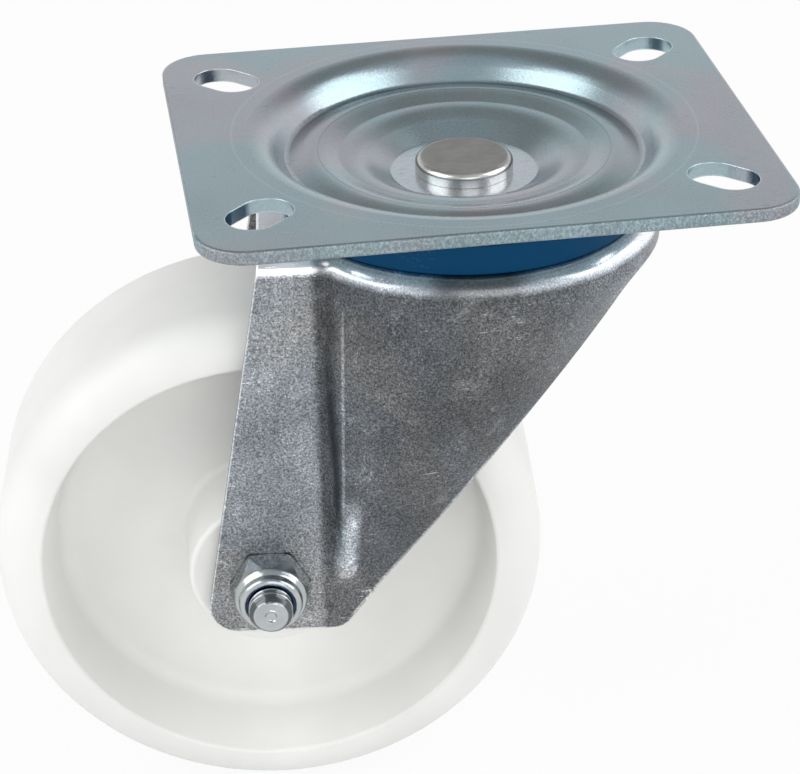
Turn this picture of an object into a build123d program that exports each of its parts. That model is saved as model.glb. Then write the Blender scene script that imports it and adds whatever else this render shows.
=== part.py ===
from build123d import *
from math import asin, atan2, cos, floor, pi, sin, sqrt, tan
import os

# Swivel castor with a pressed top plate, a double ball race, a pressed fork and a solid plastic wheel.
# Millimetres and degrees. The origin is the centre of the top plate's mounting face, on the swivel
# axis, with +Z up. X runs along the plate's long side. The fork is drawn with its wheel behind it,
# along -X, and then all that turns with it is swung about Z by swivel_at_rest.

# Castor as a whole
wheel_diameter = 100.0
wheel_headroom = 12.5
wheel_trail = 2.5
swivel_at_rest = -6.0

# Top plate: the dish depths are those of the upper face, and the bends are those on the inner side
plate_length = 100.0
plate_width = 85.0
plate_thickness = 2.5
plate_corner_radius = 8.5
plate_edge_round = 0.5
slot_width = 9.0
slot_end_margin = 10.0
slot_side_margin = 12.5
slot_run = 2.5
dish_wall_run = 3.7
dish_rim_bend = 3.5
dish_rim_land = 5.1
ring_depth = 4.88
ring_bend = 1.0
bead_outer_reach = 5.0
bead_inner_reach = 4.3
bead_depth = 3.35
step_width = 3.3
step_depth = 4.66
step_bend = 0.5
slope_run = 5.7
slope_bend = 5.0
seat_depth = 8.1
seat_bend = 0.5

# Kingpin
kingpin_radius = 6.0
kingpin_head_radius = 8.6
kingpin_head_height = 2.6
kingpin_head_round = 1.1
kingpin_tail_radius = 8.5
kingpin_tail_height = 4.6
kingpin_clearance = 0.05

# Ball races: grooves are a little wider than the balls, and the balls run with a small clearance
race_clearance = 0.05
groove_easing = 0.5
groove_slope = 0.445
upper_ball_diameter = 8.0
upper_pitch_radius = 26.2
lower_ball_diameter = 6.0
race_spacing = 7.6
flank_spare = 0.3
rib_bend = 0.4
crown_hole_land = 0.8
cup_thickness = 2.2
cup_floor_half = 3.6
cup_wall_run = 3.4
cup_hub_bend = 1.5
cup_rim_run = 1.2
cup_rim_height = 3.6

# Dust seal
seal_reach = 5.6
seal_wall = 1.3
seal_gap = 0.4

# Fork
sheet_thickness = 2.5
hub_side_gap = 0.8
crown_reach = 8.3
crown_bend = 1.0
crown_depth = 13.0
skirt_depth = 6.0
crease_radius = 3.2
crease_drift = 1.2
ridge_radius = 3.2
ridge_run = 4.0
ridge_onset = 4
shoulder_share = 0.8
bulge_taper = 1.32
bulge_drop = 12
flat_foot = 7.5
leg_below_axle = 10.0
leg_behind_axle = 10.4
leg_before_axle = 13.0
leg_rear_lean = 9.6
leg_front_angle = 53.0
leg_rear_corner = 5.0
leg_front_corner = 4.0
skirt_corner = 10.0

# Axle bolt, nut and tube
bolt_diameter = 8.0
bolt_clearance = 0.25
bolt_head_height = 5.3
bolt_end_past_nut = 3.5
bolt_end_chamfer = 1.3
bolt_end_dimple = 1.2
hex_across_flats = 13.0
hex_corner_slope = 0.577
nut_hex_height = 5.2
nut_height = 7.3
nut_collar_radius = 6.1
nut_collar_round = 1.4
lock_ring_wall = 0.6
lock_ring_depth = 2.0
lock_ring_inset = 0.5
thread_clearance = 0.03
tube_diameter = 12.0

# Wheel
wheel_width = 37.0
shoulder_radius = 8.0
face_land = 0.7
lip_round = 0.6
wall_draft = 2.5
web_thickness = 10.0
web_round = 3.0
hub_stand = 1.7
hub_wall = 5.5
hub_draft = 1.0
hub_edge_round = 1.0
hub_root_round = 1.5

# Roller bearing in the wheel's hub
roller_diameter = 3.0
roller_count = 10
roller_clearance = 0.05
cage_inset = 0.4
cage_end = 3.8
cage_wall = 2.0
pocket_clearance = 0.15

# Places that follow from the sizes above
wheel_radius = wheel_diameter / 2
crown_top = -crown_depth
crown_radius = upper_pitch_radius + crown_reach
seal_radius = upper_pitch_radius + seal_reach
axle_x = -crown_radius - wheel_trail
axle_z = crown_top - sheet_thickness - wheel_headroom - wheel_radius
axle_place = Plane(origin=(axle_x, 0, axle_z), x_dir=(1, 0, 0), z_dir=(0, -1, 0))
hub_length = wheel_width + 2 * hub_stand
leg_gap = hub_length + 2 * hub_side_gap
leg_outer = leg_gap / 2 + sheet_thickness
leg_end = axle_z - leg_below_axle
skirt_z = crown_top - skirt_depth
bulge_end = leg_end + flat_foot
blank_rear = axle_x - leg_behind_axle - crown_radius
bolt_radius = bolt_diameter / 2
bolt_hole_radius = bolt_radius + bolt_clearance
tube_radius = tube_diameter / 2
roller_radius = roller_diameter / 2
roller_pitch = tube_radius + roller_clearance + roller_radius
hub_bore_radius = roller_pitch + roller_radius + roller_clearance
hub_face_radius = hub_bore_radius + hub_wall
hub_root_radius = hub_face_radius + hub_draft
lip_radius = wheel_radius - shoulder_radius - face_land
web_radius = lip_radius - wall_draft
cage_length = hub_length - 2 * cage_inset
roller_length = cage_length - 2 * cage_end
slot_outer_x = plate_length / 2 - slot_end_margin
slot_outer_y = plate_width / 2 - slot_side_margin
upper_ball_radius = upper_ball_diameter / 2
lower_ball_radius = lower_ball_diameter / 2
upper_groove_radius = upper_ball_radius + groove_easing
lower_groove_radius = lower_ball_radius + groove_easing
lower_pitch_radius = upper_pitch_radius - race_spacing
ring_radius = upper_pitch_radius + bead_outer_reach
dish_rim_radius = ring_radius + dish_wall_run
dish_blank_radius = dish_rim_radius + dish_rim_land
step_radius = upper_pitch_radius - bead_inner_reach
slope_radius = step_radius - step_width
seat_radius = slope_radius - slope_run
plate_under_seat = -seat_depth - plate_thickness


def crest_drop(radius, rise, run):
    """How far a rounded crest between two equal flanks stops short of the flanks' corner."""
    half_turn = atan2(rise, run)
    return radius / cos(half_turn) - radius


# The race heights are worked down from the bead that is pressed into the top plate
bead_radius = upper_groove_radius + plate_thickness
bead_rise = (step_depth + ring_depth) / 2 - bead_depth
bead_run = (ring_radius - step_radius) / 2
bead_crest = -bead_depth - crest_drop(bead_radius, bead_rise, bead_run)
upper_ball_z = bead_crest - plate_thickness - race_clearance - upper_ball_radius
channel_corner = (upper_ball_z - upper_ball_radius - race_clearance
                  - crest_drop(upper_groove_radius, groove_slope, 1))
channel_half = (crown_top - channel_corner) / groove_slope
channel_bend = sheet_thickness / 2
rib_radius = lower_groove_radius + sheet_thickness
rib_flank = rib_radius * groove_slope + flank_spare
rib_half = rib_flank / sqrt(1 + groove_slope**2)
rib_height = rib_half * groove_slope
rib_crest = crown_top + rib_height - crest_drop(rib_radius, groove_slope, 1)
crown_hole_radius = lower_pitch_radius - rib_half - crown_hole_land
lower_ball_z = rib_crest - sheet_thickness - race_clearance - lower_ball_radius
cup_floor = lower_ball_z - lower_ball_radius - race_clearance
race_rim_radius = upper_pitch_radius + channel_half + channel_bend


def ring_about_axis(outline):
    """Turn a closed outline, drawn as radius and height, about Z."""
    return revolve(Plane.XZ * make_face(outline), Axis.Z)


def pressed_ring(points, bends, thickness):
    """Turn a pressed sheet about Z, from the corners of its upper face and its inside bend radii."""
    upper = [Vector(*point) for point in points]
    ways = [(end - start).normalized() for start, end in zip(upper, upper[1:])]
    downs = [Vector(way.Y, -way.X) for way in ways]
    lower = [upper[0] + downs[0] * thickness]
    upper_bends = []
    lower_bends = []
    for corner, bend, before, after in zip(upper[1:], bends, downs, downs[1:]):
        lower.append(corner + (before + after) * (thickness / (1 + before.dot(after))))
        dips = before.cross(after).Z > 0
        upper_bends.append(bend if dips else bend + thickness)
        lower_bends.append(bend + thickness if dips else bend)
    lower.append(upper[-1] + downs[-1] * thickness)
    faces = [FilletPolyline(*upper, radius=upper_bends), FilletPolyline(*lower, radius=lower_bends)]
    return ring_about_axis(faces + [Line(upper[0], lower[0]), Line(upper[-1], lower[-1])])


def disc(radius, bottom, top):
    return Pos(0, 0, (bottom + top) / 2) * Cylinder(radius, top - bottom)


def top_plate():
    dish = pressed_ring(
        [
            (kingpin_radius + kingpin_clearance, -seat_depth),
            (seat_radius, -seat_depth),
            (slope_radius, -step_depth),
            (step_radius, -step_depth),
            (upper_pitch_radius, -bead_depth),
            (ring_radius, -ring_depth),
            (dish_rim_radius, 0),
            (dish_blank_radius, 0),
        ],
        [
            seat_bend,
            slope_bend,
            step_bend,
            upper_groove_radius,
            ring_bend,
            dish_rim_bend,
        ],
        plate_thickness,
    )
    sheet = extrude(RectangleRounded(plate_length, plate_width, plate_corner_radius), amount=-plate_thickness)
    levels = sheet.edges().group_by(Axis.Z)
    sheet = fillet(levels[0] + levels[-1], plate_edge_round)
    sheet -= disc(dish_blank_radius, -2 * plate_thickness, plate_thickness)
    for side_x in (-1, 1):
        for side_y in (-1, 1):
            outer_end = Vector(side_x * slot_outer_x, side_y * slot_outer_y)
            inner_end = outer_end - Vector(side_x, side_y) * slot_run
            slot = SlotCenterPoint((outer_end + inner_end) / 2, outer_end, slot_width)
            sheet -= extrude(slot, amount=2 * plate_thickness, both=True)
    return sheet + dish


def kingpin():
    clamped = plate_thickness + cup_thickness
    head = disc(kingpin_head_radius, 0, kingpin_head_height)
    head = fillet(head.edges().group_by(Axis.Z)[-1], kingpin_head_round)
    shank = disc(kingpin_radius, -clamped, 0)
    tail = disc(kingpin_tail_radius, -clamped - kingpin_tail_height, -clamped)
    tail = chamfer(tail.edges().group_by(Axis.Z)[0], kingpin_tail_height / 2)
    return Pos(0, 0, -seat_depth) * (head + shank + tail)


def lower_race():
    return pressed_ring(
        [
            (kingpin_radius + kingpin_clearance, plate_under_seat),
            (lower_pitch_radius - cup_floor_half - cup_wall_run, plate_under_seat),
            (lower_pitch_radius - cup_floor_half, cup_floor),
            (lower_pitch_radius + cup_floor_half, cup_floor),
            (lower_pitch_radius + cup_floor_half + cup_rim_run, cup_floor + cup_rim_height),
        ],
        [cup_hub_bend, lower_groove_radius, lower_groove_radius],
        cup_thickness,
    )


def ball_ring(radius, pitch_radius, height):
    """A full ring of balls on a pitch circle, one less than would fill it, so that they run freely."""
    count = floor(pi * pitch_radius / radius) - 1
    balls = []
    for number in range(count):
        angle = 2 * pi * number / count
        balls.append(Pos(pitch_radius * cos(angle), pitch_radius * sin(angle), height) * Sphere(radius))
    return Compound(balls)


def dust_seal():
    seal_top = -ring_depth - plate_thickness - seal_gap
    inside = seal_radius - seal_wall
    corners = [(inside, crown_top), (seal_radius, crown_top), (seal_radius, seal_top), (inside, seal_top)]
    return ring_about_axis(Polyline(*corners, close=True))


def fork_section(z, inset):
    """The fork's outline at one height: a flat strip on each side behind, and the round in front.

    A concave crease and a ridge join each strip to the round, which swells beyond the strips by less
    and less down to the end of the bulge. With an inset it is the line that far inside the sheet's
    outer face.
    """
    run = min(max((skirt_z - z) / (skirt_z - bulge_end), 0), 1)
    swell = (crown_radius - leg_outer) * (1 - run**bulge_taper) * (1 - run**bulge_drop)
    round_radius = leg_outer + swell
    crease_x = -sqrt(crown_radius**2 - leg_outer**2)
    ridge_x = crease_x + ridge_run
    lean = asin(-ridge_x / crown_radius) * (1 - run)
    centre = Vector(ridge_x - crease_drift * run + round_radius * sin(lean), 0)
    ridge = ridge_radius + (round_radius * shoulder_share - ridge_radius) * (1 - run) ** ridge_onset
    half = leg_outer - inset
    outline = []
    fronts = []
    for side in (-1, 1):
        to_ridge = Vector(-sin(lean), side * cos(lean))
        ridge_centre = centre + to_ridge * (round_radius - ridge)
        reach = crease_radius + ridge
        rise = leg_outer + crease_radius - side * ridge_centre.Y
        crease_centre = ridge_centre + Vector(-sqrt(reach**2 - rise**2), side * rise)
        to_crease = (crease_centre - ridge_centre).normalized()
        to_strip = Vector(0, -side)
        strip_end = crease_centre + to_strip * (crease_radius + inset)
        crease_middle = crease_centre + (to_strip - to_crease).normalized() * (crease_radius + inset)
        crease_end = ridge_centre + to_crease * (ridge - inset)
        ridge_middle = ridge_centre + (to_crease + to_ridge).normalized() * (ridge - inset)
        ridge_end = centre + to_ridge * (round_radius - inset)
        outline.append(Line((blank_rear, side * half), strip_end))
        outline.append(ThreePointArc(strip_end, crease_middle, crease_end))
        outline.append(ThreePointArc(crease_end, ridge_middle, ridge_end))
        fronts.append(ridge_end)
    outline.append(ThreePointArc(fronts[0], (centre.X + round_radius - inset, 0), fronts[1]))
    outline.append(Line((blank_rear, -half), (blank_rear, half)))
    return Pos(0, 0, z) * make_face(outline)


def fork_block(inset):
    """The block inside the fork's outer face or, with an inset, inside its inner face."""
    top = crown_top - inset
    half = leg_outer - inset
    crown = extrude(fork_section(top, inset), amount=skirt_z - top)
    rolled_edges = crown.edges().group_by(Axis.Z)[-1].filter_by(lambda edge: edge.center().X > blank_rear + 1)
    crown = fillet(rolled_edges, crown_bend + sheet_thickness - inset)
    steps = (0, 0.04, 0.1, 0.2, 0.35, 0.5, 0.65, 0.78, 0.88, 0.94, 0.98, 0.998)
    levels = [skirt_z + (bulge_end - skirt_z) * step for step in steps]
    legs = loft([fork_section(level, inset) for level in levels])
    feet = Pos(blank_rear / 2, 0, levels[-1] - flat_foot) * Box(-blank_rear, 2 * half, 2 * flat_foot)
    return crown + legs + feet


def leg_outline():
    """The fork seen from the side: a leaning rear edge, a flat foot and a slanting front edge."""
    above = crown_top + skirt_depth
    lean = tan(leg_rear_lean * pi / 180)
    rear_x = axle_x - leg_behind_axle
    front_x = axle_x + leg_before_axle
    skirt_x = front_x + (skirt_z - leg_end) / tan(leg_front_angle * pi / 180)
    far_x = 2 * crown_radius
    corners = [
        (rear_x + (above - axle_z) * lean, above),
        (rear_x + (leg_end - axle_z) * lean, leg_end),
        (front_x, leg_end),
        (skirt_x, skirt_z),
        (far_x, skirt_z),
        (far_x, above),
    ]
    face = make_face(Polyline(*corners, close=True))
    for corner, radius in zip(corners[1:4], (leg_rear_corner, leg_front_corner, skirt_corner)):
        nearest = face.vertices().sort_by_distance((corner[0], corner[1], 0))[0]
        face = fillet(nearest, radius)
    return face


def crown_race():
    """The crown's pressed ring: a channel under the upper balls and a rib over the lower ones."""
    return pressed_ring(
        [
            (crown_hole_radius, crown_top),
            (lower_pitch_radius - rib_half, crown_top),
            (lower_pitch_radius, crown_top + rib_height),
            (lower_pitch_radius + rib_half, crown_top),
            (upper_pitch_radius - channel_half, crown_top),
            (upper_pitch_radius, channel_corner),
            (upper_pitch_radius + channel_half, crown_top),
            (race_rim_radius, crown_top),
        ],
        [rib_bend, lower_groove_radius, rib_bend, rib_bend, upper_groove_radius, rib_bend],
        sheet_thickness,
    )


def fork():
    sheet = fork_block(0) - fork_block(sheet_thickness)
    sheet &= extrude(Plane.XZ * leg_outline(), amount=2 * crown_radius, both=True)
    sheet -= disc(race_rim_radius, crown_top - 2 * sheet_thickness, crown_top + sheet_thickness)
    sheet -= axle_place * Cylinder(bolt_hole_radius, 2 * leg_gap)
    return sheet + crown_race()


def hexagon(bottom, top):
    """A hexagon with flats above and below, its corners turned off towards the top."""
    prism = extrude(Pos(0, 0, bottom) * RegularPolygon(hex_across_flats / 2, 6, major_radius=False),
                    amount=top - bottom)
    flat_radius = hex_across_flats / 2
    turned_radius = 0.95 * flat_radius
    far_radius = 2 * flat_radius
    turned = [(0, bottom), (far_radius, bottom),
              (far_radius, top - (far_radius - turned_radius) * hex_corner_slope), (turned_radius, top), (0, top)]
    return prism & ring_about_axis(Polyline(*turned, close=True))


def axle_bolt():
    shank_end = leg_outer + nut_height + bolt_end_past_nut
    head = Rot(180, 0, 0) * hexagon(leg_outer, leg_outer + bolt_head_height)
    shank = disc(bolt_radius - thread_clearance, -leg_outer, shank_end)
    shank = chamfer(shank.edges().group_by(Axis.Z)[-1], bolt_end_chamfer)
    dimple = Pos(0, 0, shank_end) * Sphere(bolt_end_dimple)
    return axle_place * (head + shank - dimple)


def axle_nut():
    ring_outside = bolt_radius + lock_ring_wall + thread_clearance
    body = hexagon(0, nut_hex_height)
    collar = disc(nut_collar_radius, 0, nut_height)
    collar = fillet(collar.edges().group_by(Axis.Z)[-1], nut_collar_round)
    recess = disc(ring_outside, nut_height - lock_ring_inset - lock_ring_depth, 2 * nut_height)
    bore = Cylinder(bolt_radius, 4 * nut_height)
    return axle_place * Pos(0, 0, leg_outer) * (body + collar - recess - bore)


def nut_lock_ring():
    top = leg_outer + nut_height - lock_ring_inset
    ring = disc(bolt_radius + lock_ring_wall, top - lock_ring_depth, top)
    return axle_place * (ring - Cylinder(bolt_radius, 4 * leg_outer))


def axle_tube():
    return axle_place * (Cylinder(tube_radius, leg_gap) - Cylinder(bolt_hole_radius, leg_gap))


def wheel():
    """The wheel in one piece, turned from a section that is the same on both sides."""
    face = wheel_width / 2
    near_side = [
        (hub_bore_radius, hub_length / 2),
        (hub_face_radius, hub_length / 2),
        (hub_root_radius, web_thickness / 2),
        (web_radius, web_thickness / 2),
        (lip_radius, face),
        (wheel_radius, face),
    ]
    far_side = [(radius, -height) for radius, height in reversed(near_side)]
    near_rounds = [hub_edge_round, hub_root_round, web_round, lip_round, shoulder_radius]
    section = FilletPolyline(*near_side, *far_side, radius=near_rounds + near_rounds[::-1])
    return axle_place * ring_about_axis(section + Line(far_side[-1], near_side[0]))


def roller_cage():
    outside = disc(roller_pitch + cage_wall / 2, -cage_length / 2, cage_length / 2)
    cage = outside - Cylinder(roller_pitch - cage_wall / 2, cage_length)
    pocket = Box(4 * cage_wall, roller_diameter + 2 * pocket_clearance, roller_length + 2 * pocket_clearance)
    for number in range(roller_count):
        cage -= Rot(0, 0, 360 * number / roller_count) * Pos(roller_pitch, 0, 0) * pocket
    return axle_place * cage


def roller(number):
    angle = 360 * number / roller_count
    return axle_place * Rot(0, 0, angle) * Pos(roller_pitch, 0, 0) * Cylinder(roller_radius, roller_length)


def castor():
    """Every piece by its name, with all that swivels swung to where it rests."""
    fixed = {
        "top_plate": top_plate(),
        "kingpin": kingpin(),
        "lower_race": lower_race(),
        "upper_balls": ball_ring(upper_ball_radius, upper_pitch_radius, upper_ball_z),
        "lower_balls": ball_ring(lower_ball_radius, lower_pitch_radius, lower_ball_z),
    }
    swung = {
        "dust_seal": dust_seal(),
        "fork": fork(),
        "axle_bolt": axle_bolt(),
        "axle_nut": axle_nut(),
        "nut_lock_ring": nut_lock_ring(),
        "axle_tube": axle_tube(),
        "wheel": wheel(),
        "roller_cage": roller_cage(),
    }
    for number in range(roller_count):
        swung[f"roller_{number + 1:02d}"] = roller(number)
    return fixed | {name: Rot(0, 0, swivel_at_rest) * piece for name, piece in swung.items()}


if __name__ == "__main__":
    os.makedirs("parts", exist_ok=True)
    for name, piece in castor().items():
        export_step(piece, f"parts/{name}.step")
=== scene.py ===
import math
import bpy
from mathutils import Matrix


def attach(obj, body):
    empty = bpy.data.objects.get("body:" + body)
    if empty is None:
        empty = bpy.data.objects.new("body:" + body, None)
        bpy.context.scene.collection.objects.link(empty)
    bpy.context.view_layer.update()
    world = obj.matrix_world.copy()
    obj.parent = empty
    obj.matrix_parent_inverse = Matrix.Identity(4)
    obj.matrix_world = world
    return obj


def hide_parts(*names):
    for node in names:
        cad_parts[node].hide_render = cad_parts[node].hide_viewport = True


bl_info = {
    "name": "Swivel castor",
    "version": (1, 0, 0),
    "blender": (4, 5, 0),
    "location": "View3D > Sidebar > Castor",
    "description": "Dresses a swivel castor: pressed zinc-plated steel, blue dust seal, white nylon wheel",
    "category": "Object",
}

import bmesh
import bpy
from bpy.props import FloatProperty, FloatVectorProperty, PointerProperty
from mathutils import Matrix, Vector

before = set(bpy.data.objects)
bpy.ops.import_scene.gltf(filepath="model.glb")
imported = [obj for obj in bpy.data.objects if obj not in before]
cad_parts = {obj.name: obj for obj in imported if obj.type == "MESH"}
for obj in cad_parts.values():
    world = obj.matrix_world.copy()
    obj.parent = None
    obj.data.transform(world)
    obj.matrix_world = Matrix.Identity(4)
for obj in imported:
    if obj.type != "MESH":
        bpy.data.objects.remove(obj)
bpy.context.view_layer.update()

# The fork stands turned on the plate, and trails the axle behind and below the kingpin. Metres and radians
swivel = math.radians(-6)
trail = 0.037
axle_drop = 0.078
axle = Vector((-trail * math.cos(swivel), -trail * math.sin(swivel), -axle_drop))
# A piece made about its own +Z comes to the axle with +Z towards the nut
axle_place = Matrix.Translation(axle) @ Matrix.Rotation(swivel, 4, "Z") @ Matrix.Rotation(math.pi / 2, 4, "X")

# Vertices closer than this are one
weld = 2e-6
# The wheel stands a tenth of a millimetre above the floor
floor_level = -0.1281

# Where the plate's finish changes, in millimetres from the kingpin's axis and the plate's top
plate_straight = (41.5, 34.0)
plate_corner_radius = 8.5
die_ring_radius = 40.5
step_line_radius = 25.6
seat_radius = 12.9
seat_height = -7.3
# Where the painted highlight on the kingpin's rounded rim begins, and where it is at its brightest
pin_rim_highlight = (7.3, 8.0)

# Where the fork's painted highlights and shade lie, in millimetres along it from the kingpin's axis and
# down from the plate's top. A lean is the drift along the fork per millimetre of height
strip_front = -27.6
crease_line = -25.6
crease_foot = -72.0
ridge_line, ridge_lean = -22.1, 0.022
ridge_top, ridge_foot = -22.0, -61.0
bulge_line, bulge_lean = -17.3, 0.08
bulge_height = -68.5
roll_foot = -18.0
slant_foot = (-24.0, -88.0)
slant_angle = math.radians(53)

# The thread's root lies this far from the axle, on the nut's side of the wheel, in millimetres
thread_root = 3.45
thread_side = -25.5


class Signal:
    """A shader socket that takes part in sums."""

    def __init__(self, finish, socket):
        self.finish = finish
        self.socket = socket

    def __add__(self, other):
        return self.finish.maths("ADD", self, other)

    def __radd__(self, other):
        return self.finish.maths("ADD", other, self)

    def __sub__(self, other):
        return self.finish.maths("SUBTRACT", self, other)

    def __rsub__(self, other):
        return self.finish.maths("SUBTRACT", other, self)

    def __mul__(self, other):
        return self.finish.maths("MULTIPLY", self, other)

    def __rmul__(self, other):
        return self.finish.maths("MULTIPLY", other, self)

    def __abs__(self):
        return self.finish.maths("ABSOLUTE", self)


class Finish:
    """A material or world whose nodes are written as expressions."""

    def __init__(self, owner):
        owner.use_nodes = True
        self.owner = owner
        self.tree = owner.node_tree
        self.tree.nodes.clear()

    def node(self, kind, settings=None, inputs=None, output=0):
        made = self.tree.nodes.new(kind)
        for name, value in (settings or {}).items():
            setattr(made, name, value)
        for key, value in (inputs or {}).items():
            socket = made.inputs[key]
            if isinstance(value, Signal):
                self.tree.links.new(value.socket, socket)
            else:
                socket.default_value = value
        return Signal(self, made.outputs[output]) if made.outputs else None

    def place(self, scale=(1, 1, 1), turn=(0, 0, 0)):
        """Object coordinates in millimetres, scaled along each axis and then turned."""
        here = self.node("ShaderNodeTexCoord", output="Object")
        per_metre = tuple(1000 * share for share in scale)
        return self.node("ShaderNodeMapping", {"vector_type": "POINT"},
                         {"Vector": here, "Rotation": turn, "Scale": per_metre})

    def axes(self, vector):
        return [self.node("ShaderNodeSeparateXYZ", {}, {"Vector": vector}, output=axis) for axis in "XYZ"]

    def noise(self, where, scale, detail=2.0, roughness=0.5, distortion=0.0):
        return self.node("ShaderNodeTexNoise", {"noise_dimensions": "3D"},
                         {"Vector": where, "Scale": scale, "Detail": detail, "Roughness": roughness,
                          "Distortion": distortion})

    def maths(self, operation, first, second=0.0):
        return self.node("ShaderNodeMath", {"operation": operation}, {0: first, 1: second})

    def reach(self, first, second):
        """The length of the line with these two sides."""
        return self.maths("SQRT", first * first + second * second)

    def between(self, value, low, high, to_low=0.0, to_high=1.0):
        """Where a value lies between two others, eased, as a number from to_low to to_high."""
        return self.node("ShaderNodeMapRange", {"interpolation_type": "SMOOTHSTEP", "clamp": True},
                         {"Value": value, "From Min": low, "From Max": high, "To Min": to_low,
                          "To Max": to_high})

    def near(self, value, centre, full, fade):
        """1 within one distance of a centre, easing to 0 at a larger one."""
        return self.between(abs(value - centre), fade, full)

    def blend(self, factor, first, second, mode="MIX"):
        first, second = (tone if isinstance(tone, Signal) else (*tone[:3], 1) for tone in (first, second))
        # A colour mix has its factor, its two colours and its result at these places among its sockets
        return self.node("ShaderNodeMix", {"data_type": "RGBA", "blend_type": mode},
                         {0: factor, 6: first, 7: second}, output=2)

    def relief(self, height, strength, depth, rounding):
        """A bumped normal over edges that are rounded by a radius in metres."""
        rounded = self.node("ShaderNodeBevel", {"samples": 6}, {"Radius": rounding})
        return self.node("ShaderNodeBump", {},
                         {"Height": height, "Strength": strength, "Distance": depth, "Normal": rounded})

    def surface(self, **inputs):
        shader = self.node("ShaderNodeBsdfPrincipled", {}, {k.replace("_", " "): v for k, v in inputs.items()})
        self.node("ShaderNodeOutputMaterial", {}, {"Surface": shader})
        return self.owner


def new_finish(name):
    return Finish(bpy.data.materials.new(name))


def tinted(tone, red, green, blue):
    return tuple(min(part * share, 1.0) for part, share in zip(tone, (red, green, blue)))


def shaded(finish, colour, shade):
    """A colour made lighter or darker by a number that varies over the surface."""
    grey = finish.node("ShaderNodeCombineColor", {}, {"Red": shade, "Green": shade, "Blue": shade})
    return finish.blend(1.0, colour, grey, "MULTIPLY")


def scratches(finish, seed, turn, spacing, length, rarity=0.66):
    """Fine straight scratches along the X axis, in patches, with sizes in millimetres.

    The seed and the turn only set one lot of them apart from another.
    """
    lines = finish.place(turn=(0.3 * seed, 0.2 * seed, turn), scale=(1 / length, 1 / spacing, 1 / spacing))
    grain = finish.noise(lines, 1.0, detail=1.0)
    patches = finish.noise(finish.place(), 0.05 + 0.01 * seed, detail=1.0)
    return finish.between(grain, rarity, rarity + 0.08) * finish.between(patches, 0.48, 0.62)


def arris(finish, radius=0.0006):
    """How near the surface lies to a sharp edge, where handling wears the plating bright and a painted
    highlight is laid.
    """
    true = finish.node("ShaderNodeNewGeometry", output="Normal")
    eased = finish.node("ShaderNodeBevel", {"samples": 8}, {"Radius": radius})
    match = finish.node("ShaderNodeVectorMath", {"operation": "DOT_PRODUCT"}, {0: true, 1: eased},
                        output="Value")
    return finish.between(match, 0.975, 0.90)


def plate_zinc(tone):
    """The plate's bright zinc: satin grey with blue and rose tints, handling marks and a sheared edge."""
    finish = new_finish("plate_zinc")
    here = finish.place()
    x, y, z = finish.axes(here)
    cloud = finish.noise(here, 0.05, detail=3.0)
    tint = finish.noise(here, 0.035, detail=1.0, distortion=0.8)
    grain = finish.noise(here, 2.4, detail=2.0, roughness=0.6)
    bluish = tinted(tone, 0.88, 1.03, 1.06)
    rosy = tinted(tone, 1.06, 0.98, 1.02)
    colour = finish.blend(finish.between(tint, 0.38, 0.66), bluish, rosy)
    light_marks = scratches(finish, 1, 0.5, 0.26, 14.0) + 0.8 * scratches(finish, 2, -0.9, 0.22, 9.0)
    dark_marks = (scratches(finish, 3, 0.35, 0.40, 2.6, rarity=0.72)
                  + 0.9 * scratches(finish, 4, 1.5, 0.45, 2.0, rarity=0.70))

    # The sheared edge shows where the plate's outline is nearer than a third of a millimetre
    past_x, past_y = (finish.maths("MAXIMUM", abs(across) - straight)
                      for across, straight in zip((x, y), plate_straight))
    inside = plate_corner_radius - finish.reach(past_x, past_y)
    edge = finish.between(inside, 0.35, 0.1)
    shear = finish.noise(finish.place(scale=(1.0, 1.0, 0.7)), 3.0, detail=3.0, roughness=0.75)
    # Edge wear, with a painted highlight along the sharp edges
    wear_and_glint = arris(finish)

    # The press leaves a ring round the dish and a line on the step, and the rivet a bright seat
    out = finish.reach(x, y)
    die_ring = finish.near(out, die_ring_radius, 0.12, 0.28) * finish.between(z, -1.0, -0.4)
    step_line = finish.near(out, step_line_radius, 0.05, 0.16)
    seat = (finish.between(out, seat_radius + 0.3, seat_radius - 0.3)
            * finish.between(z, seat_height + 0.3, seat_height - 0.3))

    shade = finish.between(cloud, 0.3, 0.7, 0.93, 1.06) * finish.between(grain, 0.3, 0.7, 0.94, 1.06)
    shade = shade * (1 + 0.16 * light_marks) * (1 - 0.26 * dark_marks)
    shade = shade * (1 + 0.10 * die_ring) * (1 - 0.22 * step_line) * (1 + 0.30 * seat)
    shade = shade * (1 - edge * finish.between(shear, 0.66, 0.40, 0.0, 0.42)) * (1 + 0.5 * wear_and_glint)
    rough = 0.25 + 0.07 * finish.between(cloud, 0.3, 0.7) + 0.10 * dark_marks + 0.16 * edge - 0.12 * seat
    height = grain * 0.5 - dark_marks * 0.25 - light_marks * 0.2 - step_line * 1.5 + edge * shear * 5
    return finish.surface(Base_Color=shaded(finish, colour, shade), Metallic=1.0, Roughness=rough,
                          Normal=finish.relief(height, 0.3, depth=0.0001, rounding=0.0003))


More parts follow.
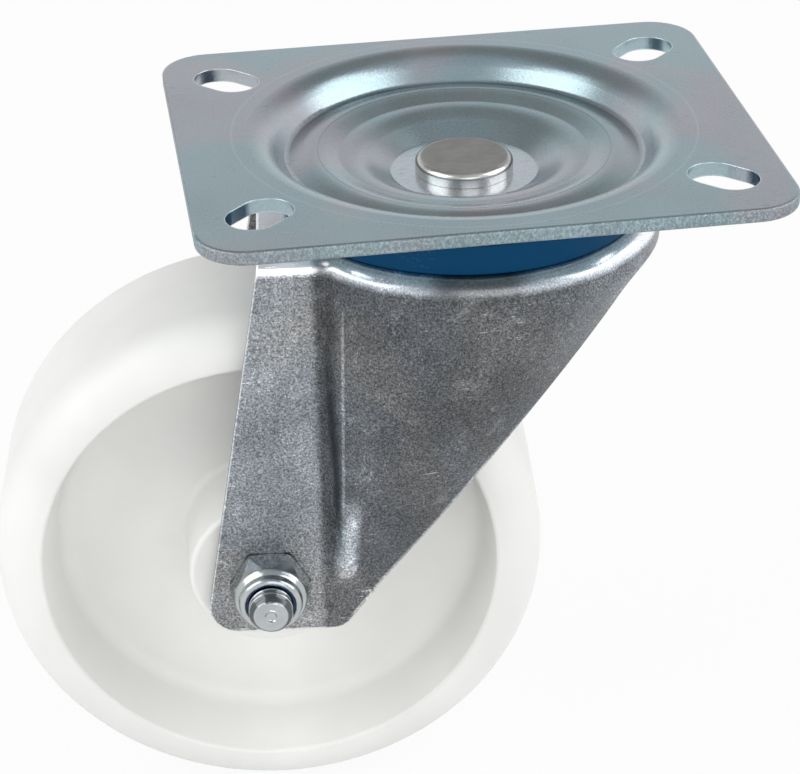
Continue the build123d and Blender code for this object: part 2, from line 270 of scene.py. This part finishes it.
def fork_zinc(tone):
    """The fork's zinc: a leathery grey, flecked and scuffed, with painted highlights, reflections and shade on
    its bands and edges.
    """
    finish = new_finish("fork_zinc")
    here = finish.place()
    along, _, height = finish.axes(finish.place(turn=(0, 0, -swivel)))
    # The surface's facing, turned with the fork: painted highlights and reflections go by which way it faces
    normal = finish.node("ShaderNodeTexCoord", output="Normal")
    facing = finish.node("ShaderNodeVectorRotate", {"rotation_type": "Z_AXIS"},
                         {"Vector": normal, "Angle": -swivel})
    ahead, aside, up = finish.axes(facing)

    # Painted highlights, reflections and shade on the fork's bands, by where they lie and which way they face
    end_on = finish.between(abs(aside), 0.55, 0.30)
    # Painted reflection: faces that point down, and not aside, are made lighter
    cut = finish.between(up, -0.25, -0.45) * end_on
    # Painted highlight on the crown's roll, where it faces up
    roll = finish.between(up, 0.02, 0.34) * finish.between(height, roll_foot - 1.5, roll_foot + 1.5)
    # Where the roll's painted highlight is dimmed, in its middle
    middle = finish.between(along, -11.0, -5.0) * finish.between(along, 12.0, 5.0)
    # Painted reflection on the forward-facing part of the skirt
    nose_reflection = finish.between(ahead, 0.30, 0.75) * finish.between(height, -46.0, -20.0)
    # Painted light: the flat strip behind the crease is made lighter
    lit_strip = finish.between(along, strip_front + 1.0, strip_front - 1.0)
    # Painted shade in the crease
    crease_shade = (finish.near(along, crease_line, 0.8, 2.3)
              * finish.between(height, crease_foot - 4.0, crease_foot + 4.0))
    # Painted highlight along the ridge
    ridge_highlight = (finish.near(along - height * ridge_lean, ridge_line, 0.08, 0.42)
             * finish.between(height, ridge_foot - 3.0, ridge_foot + 3.0)
             * finish.between(height, ridge_top + 3.0, ridge_top - 3.0))
    # Painted highlight on the bulge's lower end
    bulge_highlight = (finish.near(along - height * bulge_lean, bulge_line, 0.4, 2.6)
             * finish.near(height, bulge_height, 3.5, 11.5))

    # Sharp edges are worn and carry a painted highlight, the slanting one a painted highlight along a band of
    # its own that fades towards the crown
    foot_along, foot_height = slant_foot
    off_slant = (along - foot_along) * math.sin(slant_angle) - (height - foot_height) * math.cos(slant_angle)
    slant_glint = (finish.between(abs(off_slant), 0.7, 0.15) * finish.between(height, -36.0, -56.0)
             * finish.between(height, -87.0, -84.0) * (1 - end_on))
    wear_and_glint = finish.maths("MAXIMUM", arris(finish), slant_glint)

    cloud = finish.noise(here, 0.06, detail=4.0, roughness=0.6)
    tint = finish.noise(here, 0.04, detail=1.0, distortion=0.5)
    leather = finish.noise(here, 2.6, detail=2.0, roughness=0.7, distortion=0.3)
    fleck = finish.noise(here, 4.2, detail=1.0, roughness=0.6)
    rubbed = finish.noise(here, 0.16, detail=6.0, roughness=0.75, distortion=0.4)
    cool = tinted(tone, 0.96, 1.0, 1.05)
    warm = tinted(tone, 1.02, 1.0, 0.98)
    colour = finish.blend(finish.between(tint, 0.4, 0.65), cool, warm)
    marks = (scratches(finish, 1, 0.0, 0.30, 12.0, rarity=0.70)
             + scratches(finish, 2, -0.5, 0.22, 16.0, rarity=0.72)
             + scratches(finish, 6, 1.2, 0.24, 9.0, rarity=0.71)
             + 1.2 * scratches(finish, 9, 0.4, 0.34, 20.0, rarity=0.73))
    flecks = finish.between(fleck, 0.56, 0.72)
    smudge = finish.between(rubbed, 0.52, 0.70)

    shade = finish.between(cloud, 0.3, 0.7, 0.76, 1.20) * finish.between(leather, 0.32, 0.68, 0.52, 1.46)
    shade = shade * (1 + 0.9 * flecks) * (1 + 0.7 * smudge * (1 - 0.75 * lit_strip))
    # The roll is drawn smooth, so the grain fades there, and a painted highlight lightens it
    shade = (shade + 0.6 * roll * (1 - shade)) * (1 + 1.8 * marks)
    # Painted light and shade: the masks above lighten or darken the colour here
    shade = shade * (1 + 1.25 * lit_strip) * (1 - 0.32 * crease_shade) * (1 + 1.1 * ridge_highlight) * (1 + 0.75 * nose_reflection)
    shade = shade * (1 + 2.6 * cut) * (1 + roll * (3.4 - 3.0 * middle))
    shade = shade * (1 + bulge_highlight * (2.6 + 3.4 * smudge + leather)) * (1 + 2.6 * wear_and_glint)
    rough = 0.30 + 0.08 * finish.between(cloud, 0.3, 0.7) + 0.06 * smudge - 0.10 * roll - 0.05 * bulge_highlight
    grain = (leather * 1.3 + fleck * 0.5) * (1 - 0.8 * roll) - marks * 0.3
    return finish.surface(Base_Color=shaded(finish, colour, shade), Metallic=1.0, Roughness=rough,
                          Normal=finish.relief(grain, 0.42, depth=0.00008, rounding=0.0004))


def kingpin_steel(tone):
    """The kingpin: its head brushed flat on top, with a painted highlight round its rounded edge."""
    finish = new_finish("kingpin_steel")
    here = finish.place()
    x, y, _ = finish.axes(here)
    along_brush = finish.place(turn=(0, 0, -0.5), scale=(0.3, 3.0, 1.0))
    brushed = finish.noise(along_brush, 1.0, detail=4.0, roughness=0.7)
    cloud = finish.noise(here, 0.25, detail=3.0)
    # Painted highlight on the head's rounded rim, which is also glossier
    rim_highlight = finish.between(finish.reach(x, y), *pin_rim_highlight)
    shade = finish.between(brushed, 0.3, 0.7, 0.92, 1.08) * finish.between(cloud, 0.3, 0.7, 0.90, 1.12)
    shade = shade * (1 + 0.9 * rim_highlight)
    rough = 0.36 - 0.16 * rim_highlight + 0.06 * finish.between(cloud, 0.3, 0.7)
    return finish.surface(Base_Color=shaded(finish, tone, shade), Metallic=1.0, Roughness=rough,
                          Normal=finish.relief(brushed, 0.25, depth=0.00008, rounding=0.0002))


def steel(name, tone, roughness, threaded=False):
    """Turned or ground steel, with painted shade in the grooves of a thread."""
    finish = new_finish(name)
    here = finish.place()
    cloud = finish.noise(here, 0.3, detail=2.0)
    fine = finish.noise(here, 4.0, detail=2.0)
    colour = finish.blend(finish.between(cloud, 0.3, 0.7), tinted(tone, 0.88, 0.88, 0.88), tone)
    if threaded:
        along, aside, height = finish.axes(finish.place(turn=(0, 0, -swivel)))
        from_axle = finish.reach(along + 1000 * trail, height + 1000 * axle_drop)
        # Painted shade in the thread's grooves
        groove = (finish.near(from_axle, thread_root, 0.28, 0.46)
                  * finish.between(aside, thread_side + 0.5, thread_side - 0.5))
        colour = shaded(finish, colour, 1 - 0.75 * groove)
    rough = roughness + 0.08 * finish.between(fine, 0.3, 0.7)
    return finish.surface(Base_Color=colour, Metallic=1.0, Roughness=rough,
                          Normal=finish.relief(fine, 0.15, depth=0.00006, rounding=0.0002))


def plastic(name, tone, roughness, ripple, rubbing=0.0, specular=0.5):
    """Moulded plastic: nearly even, with a faint unevenness in colour and gloss."""
    finish = new_finish(name)
    here = finish.place()
    cloud = finish.noise(here, 0.04, detail=3.0)
    fine = finish.noise(here, 1.1, detail=2.0)
    dull = tinted(tone, 0.96, 0.96, 0.96)
    clear = tinted(tone, 1.03, 1.03, 1.03)
    colour = finish.blend(finish.between(cloud, 0.3, 0.7), dull, clear)
    rough = roughness + 0.08 * finish.between(fine, 0.3, 0.7)
    if rubbing:
        rubs = (scratches(finish, 1, 0.0, 0.35, 7.0, rarity=0.60)
                + scratches(finish, 2, 0.8, 0.3, 4.0, rarity=0.62))
        colour = finish.blend(rubs * rubbing, colour, (0.30, 0.42, 0.52))
        rough = rough + 0.15 * rubs
    return finish.surface(Base_Color=colour, Roughness=rough, Specular_IOR_Level=specular,
                          Normal=finish.relief(cloud * 3 + fine * 0.4, 0.2, depth=ripple, rounding=0.0003))


def dress(nodes, material):
    for name in nodes:
        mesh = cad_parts[name].data
        mesh.materials.clear()
        mesh.materials.append(material)


def turned(shape, outline, steps, closed=False):
    """Turn an outline of (radius, height) pairs round the Z axis, into a bmesh."""
    corners = [shape.verts.new((out, 0, up)) for out, up in outline]
    following = corners[1:] + corners[:1] if closed else corners[1:]
    edges = [shape.edges.new(pair) for pair in zip(corners, following)]
    bmesh.ops.spin(shape, geom=corners + edges, cent=(0, 0, 0), axis=(0, 0, 1), angle=2 * math.pi,
                   steps=steps, use_merge=True)


def sliced(shape, spot, facing, **options):
    """Cut through a whole bmesh with a plane, and give the edges of the cut."""
    whole = shape.verts[:] + shape.edges[:] + shape.faces[:]
    cut = bmesh.ops.bisect_plane(shape, geom=whole, plane_co=spot, plane_no=facing, **options)
    return [piece for piece in cut["geom_cut"] if isinstance(piece, bmesh.types.BMEdge)]


def finished(name, shape, node, crisp):
    """Turn a bmesh into a piece that rides on the fork, stands for a node and has its finish."""
    mesh = bpy.data.meshes.new(name)
    shape.to_mesh(mesh)
    shape.free()
    mesh.polygons.foreach_set("use_smooth", [True] * len(mesh.polygons))
    mesh.set_sharp_from_angle(angle=math.radians(crisp))
    mesh.materials.append(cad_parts[node].data.materials[0])
    piece = bpy.data.objects.new(name, mesh)
    bpy.context.scene.collection.objects.link(piece)
    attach(piece, "fork")
    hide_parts(node)


class CastorColours(bpy.types.PropertyGroup):
    plate_zinc: FloatVectorProperty(name="Plate zinc", description="Zinc plating on the top plate",
                                    subtype="COLOR", size=3, default=(0.40, 0.445, 0.465))
    # Set darker than the fork's plating is: painted shade for the dimmer surroundings its faces reflect
    fork_zinc: FloatVectorProperty(name="Fork zinc", description="Zinc plating on the fork and lower race",
                                   subtype="COLOR", size=3, default=(0.125, 0.13, 0.135))
    pin_steel: FloatVectorProperty(name="Kingpin steel", description="Steel of the kingpin",
                                   subtype="COLOR", size=3, default=(0.30, 0.298, 0.285))
    bolt_zinc: FloatVectorProperty(name="Bolt zinc", description="Plating on the axle bolt and nut",
                                   subtype="COLOR", size=3, default=(0.50, 0.54, 0.55))
    ball_steel: FloatVectorProperty(name="Ball steel", description="Ground steel of the balls and rollers",
                                    subtype="COLOR", size=3, default=(0.55, 0.56, 0.58))
    tube_steel: FloatVectorProperty(name="Tube steel", description="Steel of the axle tube",
                                    subtype="COLOR", size=3, default=(0.40, 0.40, 0.41))
    seal_blue: FloatVectorProperty(name="Seal blue", description="Plastic of the dust seal",
                                   subtype="COLOR", size=3, default=(0.0008, 0.054, 0.138))
    ring_blue: FloatVectorProperty(name="Lock ring blue", description="Nylon of the nut's lock ring",
                                   subtype="COLOR", size=3, default=(0.006, 0.035, 0.14))
    wheel_white: FloatVectorProperty(name="Wheel white", description="Nylon of the wheel",
                                     subtype="COLOR", size=3, default=(0.82, 0.82, 0.79))
    cage_natural: FloatVectorProperty(name="Cage nylon", description="Undyed nylon of the roller cage",
                                      subtype="COLOR", size=3, default=(0.62, 0.60, 0.52))


class CastorThread(bpy.types.PropertyGroup):
    diameter: FloatProperty(name="Diameter", description="Outer diameter of the thread", default=0.00795,
                            min=0.001, unit="LENGTH")
    pitch: FloatProperty(name="Pitch", description="Distance from crest to crest", default=0.00125,
                         min=0.0002, unit="LENGTH")
    length: FloatProperty(name="Length", description="Threaded length, back from the bolt's end",
                          default=0.0075, min=0.001, unit="LENGTH")
    chamfer: FloatProperty(name="Chamfer", description="Chamfer on the bolt's end", default=0.00095, min=0.0,
                           unit="LENGTH")
    dome: FloatProperty(name="Dome", description="Height of the dome on the bolt's end", default=0.0004,
                        min=0.0, unit="LENGTH")


class CastorNut(bpy.types.PropertyGroup):
    across_flats: FloatProperty(name="Across flats", description="Width of the nut across its flats",
                                default=0.013, min=0.005, unit="LENGTH")
    seat: FloatProperty(name="Seat", description="The fork's outer face, from the wheel's middle",
                        default=0.0235, min=0.0, unit="LENGTH")
    turn: FloatProperty(name="Turn", description="How far the nut is turned on the bolt",
                        default=math.radians(30), unit="ROTATION")


class CastorStudio(bpy.types.PropertyGroup):
    key_watts: FloatProperty(name="Key light", description="Power of the large light", default=4.6, min=0.0,
                             unit="POWER")
    fill_watts: FloatProperty(name="Fill light", description="Power of the side light", default=4.4, min=0.0,
                              unit="POWER")
    front_watts: FloatProperty(name="Front light", description="Power of the low light in front",
                               default=2.4, min=0.0, unit="POWER")


class CASTOR_OT_dress_metal(bpy.types.Operator):
    """Give the plated and bare metal pieces their finish"""

    bl_idname = "castor.dress_metal"
    bl_label = "Dress the metal"

    def execute(self, context):
        colours = context.scene.castor_colours
        rollers = [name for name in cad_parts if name.startswith("roller_") and name != "roller_cage"]
        dress(["top_plate"], plate_zinc(colours.plate_zinc))
        dress(["fork", "lower_race"], fork_zinc(colours.fork_zinc))
        dress(["kingpin"], kingpin_steel(colours.pin_steel))
        dress(["axle_bolt", "axle_nut"], steel("bolt_zinc", colours.bolt_zinc, 0.12, threaded=True))
        dress(["upper_balls", "lower_balls", *rollers], steel("ball_steel", colours.ball_steel, 0.12))
        dress(["axle_tube"], steel("tube_steel", colours.tube_steel, 0.3))
        return {"FINISHED"}


class CASTOR_OT_thread_bolt(bpy.types.Operator):
    """Cut a real thread on the end of the axle bolt"""

    bl_idname = "castor.thread_bolt"
    bl_label = "Thread the bolt"

    def execute(self, context):
        sizes = context.scene.castor_thread
        steps = 48

        # The plain bolt is cut off where the thread begins
        bolt = bmesh.new()
        bolt.from_mesh(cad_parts["axle_bolt"].data)
        bmesh.ops.remove_doubles(bolt, verts=bolt.verts, dist=weld / 2)
        bmesh.ops.transform(bolt, matrix=axle_place.inverted(), verts=bolt.verts)
        tip = max(vertex.co.z for vertex in bolt.verts)
        root = tip - sizes.length
        bmesh.ops.holes_fill(bolt, edges=sliced(bolt, (0, 0, root), (0, 0, 1), clear_outer=True), sides=0)

        # One groove's outline, as shares of the pitch and of the depth, winds up past both ends
        crest = sizes.diameter / 2
        depth = 0.61 * sizes.pitch
        groove = ((0.0, 0.0), (0.10, 0.0), (0.42, 0.92), (0.52, 1.0), (0.62, 0.92), (0.94, 0.0), (1.0, 0.0))
        start = root - 2 * sizes.pitch
        thread = bmesh.new()
        corners = [thread.verts.new((crest - depth * deep, 0, start + sizes.pitch * along))
                   for along, deep in groove]
        for first, second in zip(corners, corners[1:]):
            thread.edges.new((first, second))
        turns = math.ceil(sizes.length / sizes.pitch) + 3
        bmesh.ops.spin(thread, geom=thread.verts[:] + thread.edges[:], cent=(0, 0, 0), axis=(0, 0, 1),
                       dvec=(0, 0, sizes.pitch / steps), angle=2 * math.pi * turns, steps=steps * turns)
        bmesh.ops.remove_doubles(thread, verts=thread.verts, dist=weld)

        # It is cut to length, and its end chamfered over rings of its own
        face = tip - sizes.dome
        sliced(thread, (0, 0, root), (0, 0, 1), clear_inner=True)
        sliced(thread, (0, 0, face), (0, 0, 1), clear_outer=True)
        for back in (0.75, 0.5, 0.25):
            sliced(thread, (0, 0, face - back * sizes.chamfer), (0, 0, 1))
        for vertex in thread.verts:
            reach = math.hypot(vertex.co.x, vertex.co.y)
            limit = crest - sizes.chamfer + (face - vertex.co.z)
            if reach > limit:
                vertex.co.x *= limit / reach
                vertex.co.y *= limit / reach
        bmesh.ops.holes_fill(thread, edges=[e for e in thread.edges if e.is_boundary], sides=0)

        # The dome, with rings and a centre mark left by the heading tool, as shares of its radius and height
        blunt = crest - sizes.chamfer
        dome = ((0.0, -1.5), (1.0, -1.5), (1.0, 0.0), (0.94, 0.5), (0.86, 0.6), (0.78, 0.3), (0.70, 0.65),
                (0.64, 0.7), (0.56, 0.35), (0.48, 0.85), (0.40, 0.95), (0.32, 0.5), (0.22, -0.5), (0.0, -0.8))
        turned(thread, [(blunt * out, face + sizes.dome * up) for out, up in dome], steps)
        bmesh.ops.remove_doubles(thread, verts=thread.verts, dist=weld)
        bmesh.ops.recalc_face_normals(thread, faces=thread.faces)

        joined = bpy.data.meshes.new("thread_end")
        thread.to_mesh(joined)
        thread.free()
        bolt.from_mesh(joined)
        bpy.data.meshes.remove(joined)
        bmesh.ops.transform(bolt, matrix=axle_place, verts=bolt.verts)
        finished("axle_bolt_threaded", bolt, "axle_bolt", crisp=32)
        return {"FINISHED"}


class CASTOR_OT_turn_nut(bpy.types.Operator):
    """Turn the lock nut's blank and mill its six flats"""

    bl_idname = "castor.turn_nut"
    bl_label = "Make the lock nut"

    def execute(self, context):
        sizes = context.scene.castor_nut
        # From the bore at the seat, out over the hexagon's cone, up the collar and down into the ring's
        # groove: radius and height in millimetres
        blank = ((4.03, 0.0), (6.3, 0.0), (7.36, 0.6), (7.36, 1.5), (6.44, 4.9), (6.22, 5.25), (5.95, 5.5),
                 (5.72, 5.8), (5.62, 6.3), (5.50, 6.75), (5.28, 7.08), (5.0, 7.25), (4.70, 7.3),
                 (4.48, 7.22), (4.38, 7.05), (4.38, 6.8), (4.62, 6.8), (4.62, 4.75), (4.03, 4.75))
        nut = bmesh.new()
        turned(nut, [(out / 1000, up / 1000) for out, up in blank], steps=120, closed=True)
        for side in range(6):
            angle = sizes.turn + math.radians(60 * side)
            outwards = Vector((math.cos(angle), math.sin(angle), 0))
            rims = sliced(nut, outwards * sizes.across_flats / 2, outwards, clear_outer=True)
            bmesh.ops.holes_fill(nut, edges=rims, sides=0)
        bmesh.ops.remove_doubles(nut, verts=nut.verts, dist=weld)
        bmesh.ops.recalc_face_normals(nut, faces=nut.faces)
        seat = Matrix.Translation((0, 0, sizes.seat))
        bmesh.ops.transform(nut, matrix=axle_place @ seat, verts=nut.verts)
        finished("axle_nut_turned", nut, "axle_nut", crisp=12)
        return {"FINISHED"}


class CASTOR_OT_dress_plastic(bpy.types.Operator):
    """Give the plastic pieces their finish"""

    bl_idname = "castor.dress_plastic"
    bl_label = "Dress the plastic"

    def execute(self, context):
        colours = context.scene.castor_colours
        seal = plastic("seal_blue", colours.seal_blue, 0.34, ripple=0.00008, rubbing=0.07, specular=0.08)
        dress(["dust_seal"], seal)
        dress(["nut_lock_ring"], plastic("ring_blue", colours.ring_blue, 0.3, ripple=0.00004))
        dress(["wheel"], plastic("wheel_white", colours.wheel_white, 0.38, ripple=0.00010))
        dress(["roller_cage"], plastic("cage_natural", colours.cage_natural, 0.45, ripple=0.00005))
        return {"FINISHED"}


class CASTOR_OT_set_stage(bpy.types.Operator):
    """Add the floor, the backdrop, the lights and the camera"""

    bl_idname = "castor.set_stage"
    bl_label = "Set the stage"

    def execute(self, context):
        context.scene.view_settings.view_transform = "Standard"
        self.lay_floor(context.scene)
        self.paint_backdrop(context.scene)
        self.hang_lights(context.scene)
        self.place_camera(context.scene)
        return {"FINISHED"}

    def lay_floor(self, scene):
        mesh = bpy.data.meshes.new("floor")
        sheet = bmesh.new()
        bmesh.ops.create_grid(sheet, x_segments=1, y_segments=1, size=6)
        bmesh.ops.translate(sheet, verts=sheet.verts, vec=(0, 0, floor_level))
        sheet.to_mesh(mesh)
        sheet.free()
        floor = bpy.data.objects.new("floor", mesh)
        scene.collection.objects.link(floor)
        # White to the eye and in reflections, while it lights the object no more than a pale floor does
        finish = new_finish("floor_white")
        seen, mirrored, through = (finish.node("ShaderNodeLightPath", output=f"Is {kind} Ray")
                                   for kind in ("Camera", "Glossy", "Transmission"))
        shown = finish.maths("MAXIMUM", finish.maths("MAXIMUM", seen, mirrored), through)
        plain = finish.node("ShaderNodeBsdfPrincipled", {}, {"Base Color": (0.80, 0.80, 0.80, 1),
                                                            "Roughness": 0.9, "Specular IOR Level": 0.0})
        glow = finish.node("ShaderNodeEmission", {}, {"Color": (1, 1, 1, 1), "Strength": 1.0})
        mixed = finish.node("ShaderNodeMixShader", {}, {0: shown * 0.92, 1: plain, 2: glow})
        finish.node("ShaderNodeOutputMaterial", {}, {"Surface": mixed})
        mesh.materials.append(finish.owner)

    def paint_backdrop(self, scene):
        scene.world = bpy.data.worlds.new("studio")
        sky = Finish(scene.world)
        _, back, high = sky.axes(sky.node("ShaderNodeTexCoord", output="Generated"))
        # Pale at the horizon, greyer overhead, and darker high up behind, as in a studio
        seen = sky.blend(sky.between(high, 0.10, 0.75), (1.0, 1.0, 1.0), (0.52, 0.54, 0.57))
        hollow = sky.between(high, 0.46, 0.66) * sky.between(back, -0.10, 0.30)
        seen = sky.blend(hollow, seen, (0.36, 0.345, 0.34))
        camera_ray = sky.node("ShaderNodeLightPath", output="Is Camera Ray")
        colour = sky.blend(camera_ray, seen, (1, 1, 1))
        light = sky.node("ShaderNodeBackground", {}, {"Color": colour, "Strength": 1.0})
        sky.node("ShaderNodeOutputWorld", {}, {"Surface": light})

    def hang_lights(self, scene):
        studio = scene.castor_studio
        aim = Vector((0, 0, -0.05))
        for name, spot, size, watts in (("key_light", (-0.80, -0.22, 0.54), 0.84, studio.key_watts),
                                        ("fill_light", (0.80, -0.18, 0.54), 0.84, studio.fill_watts),
                                        ("front_light", (0.10, -1.20, 0.30), 0.80, studio.front_watts)):
            lamp = bpy.data.lights.new(name, "AREA")
            lamp.shape = "SQUARE"
            lamp.size = size
            lamp.energy = watts
            hung = bpy.data.objects.new(name, lamp)
            scene.collection.objects.link(hung)
            hung.location = spot
            hung.rotation_euler = (aim - hung.location).to_track_quat("-Z", "Y").to_euler()

    def place_camera(self, scene):
        # The photograph's own view, with its width and focal length in pixels
        photo_width, focal_length = 800, 2557.85
        turn, tilt, roll = (math.radians(angle) for angle in (8.226, 29.278, -1.169))
        ahead = Vector((math.sin(turn) * math.cos(tilt), math.cos(turn) * math.cos(tilt), -math.sin(tilt)))
        right = Vector((math.cos(turn), -math.sin(turn), 0))
        up = right.cross(ahead)
        across = math.cos(roll) * right + math.sin(roll) * up
        above = -math.sin(roll) * right + math.cos(roll) * up
        lens = bpy.data.cameras.new("camera")
        lens.sensor_fit = "HORIZONTAL"
        lens.sensor_width = 36
        lens.lens = focal_length * lens.sensor_width / photo_width
        camera = bpy.data.objects.new("camera", lens)
        scene.collection.objects.link(camera)
        pose = Matrix((across, above, -ahead)).transposed().to_4x4()
        pose.translation = Vector((-0.070589, -0.404217, 0.178162))
        camera.matrix_world = pose
        scene.camera = camera


class CASTOR_PT_panel(bpy.types.Panel):
    """The castor's pieces and finishes"""

    bl_label = "Swivel castor"
    bl_idname = "CASTOR_PT_panel"
    bl_space_type = "VIEW_3D"
    bl_region_type = "UI"
    bl_category = "Castor"

    def draw(self, context):
        for name in STEPS:
            self.layout.operator(f"castor.{name}")


STEPS = ("dress_metal", "thread_bolt", "turn_nut", "dress_plastic", "set_stage")
GROUPS = {"castor_colours": CastorColours, "castor_thread": CastorThread, "castor_nut": CastorNut,
          "castor_studio": CastorStudio}
CLASSES = (*GROUPS.values(), CASTOR_OT_dress_metal, CASTOR_OT_thread_bolt, CASTOR_OT_turn_nut,
           CASTOR_OT_dress_plastic, CASTOR_OT_set_stage, CASTOR_PT_panel)


def register():
    for entry in CLASSES:
        bpy.utils.register_class(entry)
    for name, group in GROUPS.items():
        setattr(bpy.types.Scene, name, PointerProperty(type=group))


def unregister():
    for name in GROUPS:
        delattr(bpy.types.Scene, name)
    for entry in reversed(CLASSES):
        bpy.utils.unregister_class(entry)


def main():
    register()
    for name in STEPS:
        getattr(bpy.ops.castor, name)()


if __name__ == "__main__":
    main()
